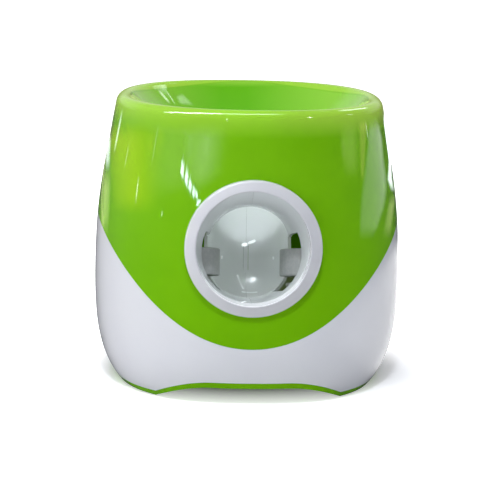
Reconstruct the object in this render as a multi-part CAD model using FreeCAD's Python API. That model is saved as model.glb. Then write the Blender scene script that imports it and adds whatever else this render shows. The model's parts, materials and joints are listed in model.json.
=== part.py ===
"""Automatic dog ball launcher: a squat two-colour housing with a ball hopper on top,
a tilted launch tunnel in front, two rubber-tyred flywheels and a feed lever inside.

Millimetres. Origin at the middle of the footprint, +Z up, the launch window faces -Y.
Each piece is one node, written to parts/NODE.step.
"""
import FreeCAD, Part
import math
import os
from FreeCAD import Placement, Rotation
from FreeCAD import Vector as V

# ---- driving dimensions ------------------------------------------------------------
BALL_R = 31.75                  # a 2.5 in ball
BALL_PLAY = 3.25                # room round the ball in the drop tube

# outer body: height and half-width of the plan, which is a superellipse
BODY_PROFILE = ((0, 110.2), (31, 125.8), (64, 130.5), (98, 131.0),
                (134, 129.6), (175, 124.7), (211, 118.2), (242.6, 112.3))
BODY_POWER_LOW = 2.40           # superellipse power at the foot
BODY_POWER_TOP = 2.30           # and at the rim
BODY_H = 242.6
WALL = 2.8
LIP_R = 7.8                     # outer rounding of the rim
LIP_INNER_R = 7.0
LIP_UNDERSIDE_Z = 237.5

# colour split between the two shells, a curve that climbs towards the sides
SPLIT_Z = 51.3
SPLIT_X2 = 0.0053
SPLIT_X4 = 1.5e-8
SEAM = 0.15

# arch under the front and the back, between two side skids
ARCH_H = 15.0
ARCH_FLAT = 30.0
ARCH_FOOT = 77.0
SKID_Z = 0.8                    # the skids stop above the floor, on rubber feet
BAND_H = 5.0                    # visible edge of the base plate
FLOOR_T = 2.6

# hopper bowl: half-width, height, plan power, centre y
BOWL_PROFILE = ((102.2, 242.6, 2.30, 0.0), (91.5, 232.0, 2.26, -2.5), (74.5, 217.5, 2.18, -9.0),
                (56.0, 203.0, 2.10, -17.5), (43.0, 192.0, 2.03, -23.5), (35.4, 183.0, 2.00, -27.0))
BOWL_WALL = 3.2
BOWL_SEAM_Z = 210.0             # the shell carries the bowl's upper slope, down to this seam
BOWL_FLANGE = 80.0
COLLAR_Z = 174.0

# drop tube and launch tunnel
TUBE_R = BALL_R + BALL_PLAY
TUBE_Y = -27.0
TUBE_TOP_Z = 173.4
CHUTE_WALL = 2.6
CUP_Z = 103.6                   # centre of the round bottom that holds the next ball
THROAT_H = 14.3                 # straight part of the tunnel's section at the tube
NECK_Y, NECK_R, NECK_Z, NECK_H = -96.0, 40.8, 126.4, 2.0

# launch window ring
RING_Y, RING_Z = -131.5, 134.5
RING_TILT = 4.3
RING_R = 55.25
APERTURE_R = 46.0
SLEEVE_R = 49.2
SLEEVE_LEN = 15.5
FLANGE_R = 52.0

# flywheels: the ball is pinched at the nip, on a launch line that climbs forwards
NIP_Y, NIP_Z = -68.0, 110.0
LAUNCH_TILT = 14.5
WHEEL_R = 32.0
NIP_GAP = 50.0                  # the tyres squeeze the ball by 13.5 mm
WHEEL_X = WHEEL_R + NIP_GAP / 2
TYRE_W = 22.5
TYRE_T = 6.0
WINDOW_H = 48.0
WINDOW_BACK = 42.3
WINDOW_FRONT = 31.0

MOTOR_R = 14.2
MOTOR_LEN = 38.0
SHAFT_R = 1.6
RUN_FIT = 0.05
DECK_TOP = -16.5                # motor mount plate, measured along the wheel axis
DECK_T = 3.0
LEG_X, LEG_Y = 20.5, -72.0      # mount legs, either side of the motor

# feed lever, turned by a small servo behind the cup
LEVER_Y, LEVER_Z = 18.0, 54.0
LEVER_T = 3.8
FINGER_IN, FINGER_OUT = 35.0, 55.0   # the finger is a ring sector round the pivot
FINGER_BACK = (78.0, 92.0)      # direction of its back corners, degrees from +Y, seen from +X
FINGER_FRONT = 125.0
SLOT_FRONT = 132.0
LEVER_GAP = 0.3

# rear panel
PANEL_Z = 122.0
PANEL_HALF_W = 46.0
PANEL_R = 23.0
BUTTON_X = 23.0
BUTTON_R = 9.0
BUTTON_GAP = 0.3
BOARD_Y = 112.0

# battery bay: four C cells in two rows
CELL_R, CELL_LEN = 13.1, 50.0
CELL_ROWS = (48.0, 76.0)
CELL_Z = 32.4
BAY_X, BAY_Y0, BAY_Y1 = 54.0, 33.5, 90.5

FOOT_R = 8.0
FOOT_AT = (86.0, 60.0)
SHELL_POST = (98.0, 36.0)

parts = {}


def group(shapes):
    return Part.makeCompound(shapes)


def cylinder(r, start, end):
    axis = end.sub(start)
    return Part.makeCylinder(r, axis.Length, start, axis)


def box(x0, x1, y0, y1, z0, z1):
    return Part.makeBox(x1 - x0, y1 - y0, z1 - z0, V(x0, y0, z0))


def prism_y(wire, y0, y1):
    face = Part.Face(wire)
    solid = face.extrude(V(0, y1 - y0, 0))
    solid.translate(V(0, y0 - wire.BoundBox.YMin, 0))
    return solid


def fuse(first, *others):
    return first.fuse(list(others)).removeSplitter()


# ---- outer body --------------------------------------------------------------------
def superellipse(half, power, z, centre_y=0.0, points=32):
    ring = []
    for i in range(points):
        t = 2 * math.pi * i / points
        c, s = math.cos(t), math.sin(t)
        x = half * math.copysign(abs(c) ** (2 / power), c)
        y = half * math.copysign(abs(s) ** (2 / power), s)
        ring.append(V(x, centre_y + y, z))
    curve = Part.BSplineCurve()
    curve.interpolate(ring, PeriodicFlag=True)
    return Part.Wire([curve.toShape()])


def body(offset=0.0):
    wires = []
    for z, half in BODY_PROFILE:
        power = BODY_POWER_LOW + (BODY_POWER_TOP - BODY_POWER_LOW) * z / BODY_H
        wires.append(superellipse(half + offset, power, z))
    return Part.makeLoft(wires, True, False)


def bowl(grow=0.0):
    wires = []
    for half, z, power, centre_y in BOWL_PROFILE:
        wires.append(superellipse(half + grow, power, z - 0.25 * grow * (z < BODY_H), centre_y))
    return Part.makeLoft(wires, True, False)


def above_split(shift=0.0):
    points = []
    for i in range(-7, 8):
        x = 21.0 * i
        points.append(V(x, 0, SPLIT_Z + SPLIT_X2 * x ** 2 + SPLIT_X4 * x ** 4 + shift))
    curve = Part.BSplineCurve()
    curve.interpolate(points)
    low, high = points[0], points[-1]
    top = BODY_H + 20
    corners = [high, V(high.x, 0, top), V(low.x, 0, top), low]
    edges = [curve.toShape()]
    edges += [Part.makeLine(a, b) for a, b in zip(corners, corners[1:])]
    return prism_y(Part.Wire(edges), -160, 160)


ARCH_RUN = ARCH_FOOT - ARCH_FLAT
ARCH_R = (ARCH_RUN ** 2 + ARCH_H ** 2) / (2 * ARCH_H)


def arch_z(x):
    """Height of the base's underside at this distance from the middle."""
    away = max(0.0, abs(x) - ARCH_FLAT)
    if away >= ARCH_RUN:
        return SKID_Z
    return SKID_Z + ARCH_H - ARCH_R + math.sqrt(ARCH_R ** 2 - away ** 2)


def arch_edges(z_shift):
    half = math.asin(ARCH_RUN / ARCH_R) / 2
    reach = 150.0
    low, high = SKID_Z + z_shift, SKID_Z + ARCH_H + z_shift
    centre = V(ARCH_FLAT, 0, high - ARCH_R)
    middle = centre + V(ARCH_R * math.sin(half), 0, ARCH_R * math.cos(half))
    right = [V(ARCH_FLAT, 0, high), middle, V(ARCH_FOOT, 0, low), V(reach, 0, low)]
    left = [V(-p.x, 0, p.z) for p in right]
    edges = [Part.makeLine(left[3], left[2]), Part.Arc(left[2], left[1], left[0]).toShape(),
             Part.makeLine(left[0], right[0]), Part.Arc(right[0], right[1], right[2]).toShape(),
             Part.makeLine(right[2], right[3])]
    return edges, left[3], right[3]


def above_arch(z_shift, top=300.0):
    edges, left, right = arch_edges(z_shift)
    corners = [right, V(right.x, 0, top), V(left.x, 0, top), left]
    edges += [Part.makeLine(a, b) for a, b in zip(corners, corners[1:])]
    return prism_y(Part.Wire(edges), -160, 160)


def ring_frame(shape):
    """From local axes, +Z out of the window, to the ring's place on the front wall."""
    place = Placement(V(0, RING_Y, RING_Z), Rotation(V(1, 0, 0), 90 - RING_TILT))
    shape.Placement = place.multiply(shape.Placement)
    return shape


def wheel_frame(shape):
    """From local axes, -Y along the launch line and +Z along the wheel axes."""
    place = Placement(V(0, NIP_Y, NIP_Z), Rotation(V(1, 0, 0), -LAUNCH_TILT))
    shape.Placement = place.multiply(shape.Placement)
    return shape


def screw(at, direction, radius=1.5, length=12.0, head_r=3.0, head_h=2.0):
    """A pan-head screw: its head sits on the point, its shank runs along direction."""
    direction = V(direction).normalize()
    head = cylinder(head_r, at.sub(direction * head_h), at)
    shank = cylinder(radius, at, at + direction * length)
    turn = Rotation(V(0, 0, 1), direction)
    solid = head.fuse(shank)
    for quarter in (0, 90):
        slot = Part.makeBox(head_r * 1.2, 0.7, 1.0, V(-head_r * 0.6, -0.35, 0))
        slot.Placement = Placement(at.sub(direction * head_h), turn.multiply(Rotation(V(0, 0, 1), quarter)))
        solid = solid.cut(slot)
    return solid.removeSplitter()


def panel_outline(grow=0.0):
    half, r = PANEL_HALF_W + grow, PANEL_R + grow
    bar = half - r
    top, low = PANEL_Z + r, PANEL_Z - r
    edges = [Part.makeLine(V(-bar, 0, low), V(bar, 0, low)),
             Part.Arc(V(bar, 0, low), V(half, 0, PANEL_Z), V(bar, 0, top)).toShape(),
             Part.makeLine(V(bar, 0, top), V(-bar, 0, top)),
             Part.Arc(V(-bar, 0, top), V(-half, 0, PANEL_Z), V(-bar, 0, low)).toShape()]
    return prism_y(Part.Wire(edges), 60, 160)


# ---- shells and bowl ---------------------------------------------------------------
def make_shells():
    outer = body()
    rim = [e for e in outer.Edges if e.BoundBox.ZMin > BODY_H - 0.1]
    outer = outer.makeFillet(LIP_R, rim)
    outer = outer.cut(bowl())
    mouth = [e for e in outer.Edges
             if e.BoundBox.ZMin > BODY_H - 0.1 and e.BoundBox.XMax < BOWL_PROFILE[0][0] + 1]
    outer = outer.makeFillet(LIP_INNER_R, mouth)

    tube = V(0, TUBE_Y, 0)
    below_seam = box(-150, 150, -150, 150, -1, BOWL_SEAM_Z)
    wide_bowl = bowl(BOWL_WALL)
    collar = cylinder(TUBE_R + CHUTE_WALL, tube + V(0, 0, COLLAR_Z), tube + V(0, 0, 186))
    bore = cylinder(TUBE_R, tube + V(0, 0, COLLAR_Z - 5), tube + V(0, 0, 185))
    flange = Part.Face(superellipse(BOWL_FLANGE, 2.1, BOWL_SEAM_Z - 2.4, -12)).extrude(V(0, 0, 2.4))
    cup = wide_bowl.common(below_seam).fuse([collar, flange]).removeSplitter()
    parts["hopper_bowl"] = cup.cut(bowl()).cut(bore)

    inside = body(-WALL).common(box(-150, 150, -150, 150, -1, LIP_UNDERSIDE_Z))
    skin = outer.cut(inside.cut(wide_bowl))
    divider = superellipse(BOWL_PROFILE[0][0] + BOWL_WALL + 1, BODY_POWER_TOP, COLLAR_Z - 10)
    skin = skin.cut(Part.Face(divider).extrude(V(0, 0, BOWL_SEAM_Z - COLLAR_Z + 10)))
    ring_hole = ring_frame(Part.makeCylinder(SLEEVE_R + 0.3, 60, V(0, 0, -50)))
    upper = skin.common(above_split(SEAM / 2))
    upper = upper.cut(ring_hole).cut(panel_outline(0.25))
    posts = []
    for sx in (-1, 1):
        for sy in (-1, 1):
            x, y = sx * SHELL_POST[0], sy * SHELL_POST[1]
            post = cylinder(5.0, V(x, y, 96), V(x, y, 205))
            rib = Part.makeBox(60, 2.4, 109, V(0, -1.2, 96))
            rib.Placement = Placement(V(x, y, 0), Rotation(V(0, 0, 1), math.degrees(math.atan2(y, x))))
            pilot = cylinder(1.4, V(x, y, 95), V(x, y, 112))
            rib = rib.common(body(-1.0)).common(above_split(6))
            posts.append(post.fuse(rib).cut(pilot).cut(bowl(BOWL_WALL + 1)))
    parts["upper_shell"] = fuse(upper, *posts)

    lower = skin.cut(above_split(-SEAM / 2)).common(above_arch(BAND_H + SEAM))
    tongue = body(-WALL - 0.2).cut(body(-WALL - 2.0))
    tongue = tongue.common(above_split(-7)).cut(above_split(5))
    root = body(-WALL + 0.4).cut(body(-WALL - 2.0))
    root = root.common(above_split(-7)).cut(above_split(-1.5))
    tongue = tongue.fuse(root).common(above_arch(BAND_H + 2))
    tongue = tongue.cut(panel_outline(1.0))
    parts["lower_shell"] = fuse(lower, tongue)


# ---- base --------------------------------------------------------------------------
def make_base():
    plate = body().common(above_arch(0)).cut(above_arch(BAND_H))
    plate = plate.cut(body(-3.4).common(above_arch(FLOOR_T)))
    shell_screws, feet = [], []
    for sx in (-1, 1):
        for sy in (-1, 1):
            x, y = sx * FOOT_AT[0], sy * FOOT_AT[1]
            foot = cylinder(FOOT_R, V(x, y, 0), V(x, y, 2.2))
            foot = foot.makeFillet(0.6, [e for e in foot.Edges if e.BoundBox.ZMax < 0.1])
            feet.append(foot)
            plate = plate.cut(cylinder(FOOT_R + 0.1, V(x, y, 0), V(x, y, 2.2)))
            plate = plate.fuse(cylinder(FOOT_R + 2, V(x, y, 2.2), V(x, y, 5.4)))
            x, y = sx * SHELL_POST[0], sy * SHELL_POST[1]
            tower = cylinder(5.0, V(x, y, SKID_Z + 1), V(x, y, 95.8))
            bore = cylinder(1.8, V(x, y, 0), V(x, y, 97))
            well = cylinder(3.6, V(x, y, 0), V(x, y, 86))
            plate = plate.fuse(tower).cut(bore).cut(well)
            shell_screws.append(screw(V(x, y, 86), V(0, 0, 1), 1.4, 22, 3.2, 2.2))
    opening = box(-BAY_X, BAY_X, BAY_Y0, BAY_Y1, -1, 40)
    door = box(-BAY_X + 0.3, BAY_X - 0.3, BAY_Y0 + 0.3, BAY_Y1 - 0.3, -1, 40)
    door = door.common(above_arch(0)).cut(above_arch(FLOOR_T))
    tabs = [box(x - 5, x + 5, BAY_Y0 - 4, BAY_Y0 + 3, 0, 40) for x in (-30, 30)]
    tabs = group(tabs).common(above_arch(FLOOR_T)).cut(above_arch(FLOOR_T + 1.6))
    ear = box(-9, 9, BAY_Y1 - 2, BAY_Y1 + 10, 0, 40)
    ear_gap = box(-9.3, 9.3, BAY_Y1 - 3, BAY_Y1 + 10.3, 0, SKID_Z + ARCH_H + 1.3)
    ear = ear.common(above_arch(0)).cut(above_arch(1.1))
    screw_at = V(0, BAY_Y1 + 5, SKID_Z + ARCH_H)
    plate = plate.cut(opening).cut(ear_gap)
    boss = cylinder(4.0, screw_at + V(0, 0, 1.3), screw_at + V(0, 0, 10))
    plate = plate.fuse(boss).cut(cylinder(1.2, screw_at, screw_at + V(0, 0, 9)))
    door = door.fuse([s for s in tabs.Solids] + [ear])
    door = door.cut(cylinder(1.7, screw_at + V(0, 0, -1), screw_at + V(0, 0, 3)))
    parts["base_plate"] = plate.removeSplitter()
    parts["battery_door"] = door.removeSplitter()
    parts["battery_door_screw"] = screw(screw_at, V(0, 0, 1), 1.2, 8.5, 2.8, 1.8)
    parts["rubber_feet"] = group(feet)
    parts["shell_screws"] = group(shell_screws)


# ---- launch window and chute -------------------------------------------------------
def make_ring():
    flat = Part.makeCylinder(RING_R, 2.8, V(0, 0, -2.8))
    skirt = Part.makeCylinder(RING_R, 12, V(0, 0, -12)).cut(
        Part.makeCylinder(RING_R - 2.6, 12, V(0, 0, -12.1)))
    ring = flat.fuse(skirt)
    face_edges = [e for e in ring.Edges if e.BoundBox.ZMin > -0.1]
    ring = ring.makeFillet(1.6, face_edges)
    ring = ring_frame(ring).cut(body(0.15))
    sleeve = Part.makeCylinder(SLEEVE_R, SLEEVE_LEN - 1, V(0, 0, -SLEEVE_LEN))
    aperture = Part.makeCylinder(APERTURE_R, SLEEVE_LEN + 2, V(0, 0, -SLEEVE_LEN - 1))
    ring = ring.fuse(ring_frame(sleeve)).cut(ring_frame(aperture)).removeSplitter()
    edge = [e for e in ring.Edges
            if abs(e.BoundBox.XMax - APERTURE_R) < 0.1 and e.BoundBox.YMin < RING_Y - 2]
    parts["bezel_ring"] = ring.makeFillet(1.3, edge)


def stadium(radius, straight, centre, tilt=0.0):
    """Upright stadium across the tunnel, four edges; tilt leans its top back."""
    lean = math.radians(tilt)
    up = V(0, math.sin(lean), math.cos(lean))
    side = V(1, 0, 0)
    half = up * (straight / 2)
    right_low, right_top = centre + side * radius - half, centre + side * radius + half
    left_low, left_top = centre - side * radius - half, centre - side * radius + half
    crown = centre + half + up * radius
    sole = centre - half - up * radius
    return Part.Wire([Part.makeLine(right_low, right_top), Part.Arc(right_top, crown, left_top).toShape(),
                      Part.makeLine(left_top, left_low), Part.Arc(left_low, sole, right_low).toShape()])


def chute_space(grow):
    """Drop tube, round cup and the tunnel that opens from the cup to the ring."""
    normal = V(0, -math.cos(math.radians(RING_TILT)), math.sin(math.radians(RING_TILT)))
    mouth = V(0, RING_Y, RING_Z) - normal * SLEEVE_LEN
    throat = V(0, TUBE_Y, CUP_Z + THROAT_H / 2)
    wires = [stadium(APERTURE_R - 0.5 + grow, 0.6, mouth, RING_TILT),
             stadium(NECK_R + grow, NECK_H, V(0, NECK_Y, NECK_Z)),
             stadium(TUBE_R + grow - 0.2, THROAT_H, throat)]
    tunnel = Part.makeLoft(wires, True, False)
    r, half = TUBE_R + grow, (TUBE_R + grow) * math.sqrt(0.5)
    sole, rim, top = V(0, 0, CUP_Z - r), V(r, 0, CUP_Z), V(r, 0, TUBE_TOP_Z)
    edges = [Part.Arc(sole, V(half, 0, CUP_Z - half), rim).toShape(), Part.makeLine(rim, top),
             Part.makeLine(top, V(0, 0, TUBE_TOP_Z)), Part.makeLine(V(0, 0, TUBE_TOP_Z), sole)]
    tube = Part.Face(Part.Wire(edges)).revolve(V(0, 0, 0), V(0, 0, 1), 360)
    tube.translate(V(0, TUBE_Y, 0))
    return tunnel, tube


def make_chute():
    tunnel, tube = chute_space(CHUTE_WALL)
    socket = cylinder(TUBE_R + CHUTE_WALL + 2.6, V(0, TUBE_Y, TUBE_TOP_Z - 6), V(0, TUBE_Y, TUBE_TOP_Z + 5))
    flange = ring_frame(Part.makeCylinder(FLANGE_R, 2.5, V(0, 0, -SLEEVE_LEN - 2.5)))
    lug_at = ((-103, 181.5), (-78, 170), (-62, 70), (-100, 77), (14, 140), (14, 162))
    lugs = [cylinder(4.0, V(-5, y, z), V(5, y, z)) for y, z in lug_at]
    webs = [box(-2.5, 2.5, -105, -76, 162, 179), box(-2.5, 2.5, -103, -59, 70, 82),
            box(-2.5, 2.5, 8, 14, 138, 164)]
    chute = tunnel.fuse([tube, socket, flange] + lugs + webs)
    for space in chute_space(0.0):
        chute = chute.cut(space)
    chute = chute.cut(cylinder(TUBE_R, V(0, TUBE_Y, TUBE_TOP_Z - 8), V(0, TUBE_Y, TUBE_TOP_Z + 6)))
    chute = chute.cut(cylinder(TUBE_R + CHUTE_WALL + 0.15, V(0, TUBE_Y, TUBE_TOP_Z),
                               V(0, TUBE_Y, TUBE_TOP_Z + 6)))
    window = Part.makeBox(200, WINDOW_BACK + WINDOW_FRONT, WINDOW_H, V(-100, -WINDOW_FRONT, -WINDOW_H / 2))
    window = wheel_frame(window)
    hatch = window.cut(box(-18, 18, -200, 100, 0, 200))
    chute = chute.cut(hatch)
    chute = chute.cut(finger(LEVER_GAP, 60.0, 60.0, SLOT_FRONT))
    sensor_z = 146.0
    chute = chute.cut(cylinder(2.6, V(-50, TUBE_Y, sensor_z), V(50, TUBE_Y, sensor_z)))

    screws = []
    for y, z in lug_at:
        chute = chute.cut(cylinder(1.25, V(-4, y, z), V(6, y, z)))
        screws.append(screw(V(5, y, z), V(-1, 0, 0), 1.2, 8.6, 2.6, 1.8))
    bezel_screws = []
    for k in range(4):
        angle = math.radians(45 + 90 * k)
        at = V(48.0 * math.cos(angle), 48.0 * math.sin(angle), -SLEEVE_LEN - 2.5)
        hole = ring_frame(cylinder(0.8, at - V(0, 0, 1), at + V(0, 0, 8)))
        well = ring_frame(cylinder(1.8, at - V(0, 0, 2), at))
        chute = chute.cut(hole).cut(well)
        parts["bezel_ring"] = parts["bezel_ring"].cut(hole)
        bezel_screws.append(ring_frame(screw(at, V(0, 0, 1), 0.75, 7.5, 1.6, 1.2)))
    parts["chute_screws"] = group(screws)
    parts["bezel_screws"] = group(bezel_screws)
    for name, x0, x1 in (("chute_left", -120, -SEAM / 2), ("chute_right", SEAM / 2, 120)):
        parts[name] = chute.common(box(x0, x1, -200, 100, 0, 260))
    for side, sx in (("emitter", -1), ("receiver", 1)):
        lens = cylinder(2.5, V(sx * (TUBE_R + 0.4), TUBE_Y, sensor_z), V(sx * 41, TUBE_Y, sensor_z))
        case_x = sorted((sx * 38.2, sx * 45))
        case = box(case_x[0], case_x[1], TUBE_Y - 5, TUBE_Y + 5, sensor_z - 6, sensor_z + 6)
        parts["ball_sensor_" + side] = fuse(lens, case)


# ---- flywheels and motors ----------------------------------------------------------
def revolve_z(profile, x=0.0):
    points = [V(r, 0, z) for r, z in profile]
    face = Part.Face(Part.makePolygon(points + points[:1]))
    solid = face.revolve(V(0, 0, 0), V(0, 0, 1), 360)
    solid.translate(V(x, 0, 0))
    return solid


def make_drive(side, sx):
    x = sx * WHEEL_X
    half = TYRE_W / 2
    rim_r = WHEEL_R - TYRE_T
    tyre = revolve_z([(rim_r, -half + 1), (rim_r, half - 1), (WHEEL_R - 3, half), (WHEEL_R - 0.8, half),
                      (WHEEL_R, half - 0.8), (WHEEL_R, -half + 0.8), (WHEEL_R - 0.8, -half),
                      (WHEEL_R - 3, -half)], x)
    hub = revolve_z([(SHAFT_R, -10), (SHAFT_R, 8), (5, 8), (6, 7), (6, 2), (22.5, 2), (22.5, half - 2),
                     (rim_r, half - 2), (rim_r, -half + 2), (22.5, -half + 2), (22.5, -1), (6, -1),
                     (6, -10)], x)
    for k in range(6):
        angle = math.radians(60 * k + 30)
        at = V(x + 14 * math.cos(angle), 14 * math.sin(angle), -5)
        hub = hub.cut(Part.makeCylinder(4.2, 12, at))
    top = DECK_TOP - DECK_T
    rotor = revolve_z([(0, 7), (SHAFT_R, 7), (SHAFT_R, top - 4), (10.5, top - 4), (10.5, top - 28),
                       (3.5, top - 28), (3.5, top - 34), (SHAFT_R, top - 34),
                       (SHAFT_R, top - MOTOR_LEN + 0.6), (0, top - MOTOR_LEN + 0.6)], x)
    bush = SHAFT_R + RUN_FIT
    can = revolve_z([(bush, top + 2), (4.5, top + 2), (4.5, top), (MOTOR_R, top), (MOTOR_R, top - 34.4),
                     (11.6, top - 34.4), (11.6, top - 1.6), (bush, top - 1.6)], x)
    cap = revolve_z([(bush, top - 35), (11.4, top - 35), (11.4, top - 34.5), (MOTOR_R, top - 34.5),
                     (MOTOR_R, top - MOTOR_LEN), (4, top - MOTOR_LEN), (4, top - MOTOR_LEN - 1.5),
                     (bush, top - MOTOR_LEN - 1.5)], x)
    terminals = [box(x + k * 8 - 1.2, x + k * 8 + 1.2, -0.3, 0.3, top - MOTOR_LEN - 5, top - MOTOR_LEN + 0.5)
                 for k in (-1, 1)]
    cap = fuse(cap, *terminals)

    plate = box(x - 25, x + 25, -24, 24, top, DECK_TOP)
    plate = plate.cut(Part.makeCylinder(4.8, 20, V(x, 0, top - 5)))
    screws = []
    for k in (-1, 1):
        hole = V(x, k * 8.0, 0)
        plate = plate.cut(cylinder(1.3, hole + V(0, 0, top - 1), hole + V(0, 0, DECK_TOP + 1)))
        can = can.cut(cylinder(1.2, hole + V(0, 0, top - 3), hole + V(0, 0, top + 1)))
        screws.append(screw(hole + V(0, 0, DECK_TOP), V(0, 0, -1), 1.15, 5.0, 2.4, 1.5))
    over = wheel_frame(box(x - 60, x + 60, -90, 90, top + 0.5, 120))
    mount = wheel_frame(plate)
    mount_screws = []
    for k in (-1, 1):
        foot = V(x + k * LEG_X, LEG_Y, 0)
        leg = cylinder(4.5, foot + V(0, 0, 1), foot + V(0, 0, 130))
        leg = leg.cut(over).common(above_arch(FLOOR_T + 0.02))
        under = foot + V(0, 0, arch_z(foot.x))
        seat = under + V(0, 0, 1.8)
        pilot = cylinder(1.3, under - V(0, 0, 3), under + V(0, 0, 14))
        mount = mount.fuse(leg).cut(pilot)
        well = cylinder(3.1, under - V(0, 0, 5), seat)
        parts["base_plate"] = parts["base_plate"].cut(pilot).cut(well)
        mount_screws.append(screw(seat, V(0, 0, 1), 1.2, 11, 2.9, 1.6))
    mount = mount.cut(group(list(chute_space(CHUTE_WALL + 0.4))))
    parts["tyre_" + side] = wheel_frame(tyre)
    parts["hub_" + side] = wheel_frame(hub)
    parts["motor_rotor_" + side] = wheel_frame(rotor)
    parts["motor_can_" + side] = wheel_frame(can)
    parts["motor_cap_" + side] = wheel_frame(cap)
    parts["motor_mount_" + side] = mount.removeSplitter()
    return [wheel_frame(s) for s in screws], mount_screws


# ---- feed lever --------------------------------------------------------------------
def around_pivot(radius, degrees):
    angle = math.radians(degrees)
    return V(0, LEVER_Y + radius * math.cos(angle), LEVER_Z + radius * math.sin(angle))


def finger(grow, back_low, back_top, front):
    """Ring sector round the lever's pivot, from its back corners to its front direction."""
    half = V(LEVER_T / 2 + grow, 0, 0)
    pivot = V(0, LEVER_Y, LEVER_Z)
    ring = cylinder(FINGER_OUT + grow, pivot - half, pivot + half)
    ring = ring.cut(cylinder(FINGER_IN - grow, pivot - half * 2, pivot + half * 2))
    corners = [around_pivot(FINGER_IN - 1, back_low), around_pivot(FINGER_OUT + 3, back_top),
               around_pivot(FINGER_OUT + 25, (back_top + front) / 2),
               around_pivot(FINGER_OUT + 25, front), around_pivot(FINGER_IN - 4, front)]
    wedge = Part.Face(Part.makePolygon(corners + corners[:1])).extrude(half * 2)
    wedge.translate(V(-half.x, 0, 0))
    return ring.common(wedge)


def make_feed():
    pivot = V(0, LEVER_Y, LEVER_Z)
    pusher = finger(0.0, FINGER_BACK[0], FINGER_BACK[1], FINGER_FRONT)
    for space in chute_space(LEVER_GAP / 2):
        pusher = pusher.cut(space)
    corners = [pivot + V(0, -5.5, 2), around_pivot(FINGER_IN - 1, 80.0), around_pivot(42.0, 85.0),
               around_pivot(40.0, 69.0), pivot + V(0, 5.5, 2)]
    arm = Part.Face(Part.makePolygon(corners + corners[:1])).extrude(V(LEVER_T, 0, 0))
    arm.translate(V(-LEVER_T / 2, 0, 0))
    hub = cylinder(6.0, pivot - V(3, 0, 0), pivot + V(3, 0, 0))
    lever = fuse(hub, arm, pusher)
    spline = cylinder(2.4, pivot - V(4, 0, 0), pivot + V(12, 0, 0))
    lever = lever.cut(cylinder(2.4, pivot - V(8, 0, 0), pivot + V(8, 0, 0)))
    parts["feed_lever"] = lever
    parts["servo_shaft"] = spline
    case = box(5.5, 27, LEVER_Y - 6.25, LEVER_Y + 6.25, LEVER_Z - 16.75, LEVER_Z + 6.25)
    boss = cylinder(5.6, pivot + V(4, 0, 0), pivot + V(6, 0, 0))
    ears = box(15, 17.4, LEVER_Y - 6.25, LEVER_Y + 6.25, LEVER_Z - 21.5, LEVER_Z + 11)
    servo = fuse(case, boss, ears)
    servo = servo.cut(cylinder(2.4 + RUN_FIT, pivot + V(3, 0, 0), pivot + V(13, 0, 0)))
    bracket = box(8, 15, LEVER_Y - 10, LEVER_Y + 10, 10, LEVER_Z + 11)
    bracket = bracket.cut(box(7, 16, LEVER_Y - 6.5, LEVER_Y + 6.5, LEVER_Z - 17, LEVER_Z + 6.5))
    sole = box(-2, 30, LEVER_Y - 10, LEVER_Y + 10, 10, 22)
    bracket = bracket.fuse(sole).common(above_arch(FLOOR_T + 0.02))
    screws = []
    for dz in (-19, 8.6):
        at = V(17.4, LEVER_Y, LEVER_Z + dz)
        hole = cylinder(0.9, at - V(10, 0, 0), at + V(1, 0, 0))
        servo = servo.cut(hole)
        bracket = bracket.cut(hole)
        screws.append(screw(at, V(-1, 0, 0), 0.85, 8.5, 1.8, 1.2))
    parts["feed_servo"] = servo
    parts["servo_bracket"] = bracket.removeSplitter()
    parts["servo_screws"] = group(screws)


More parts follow.
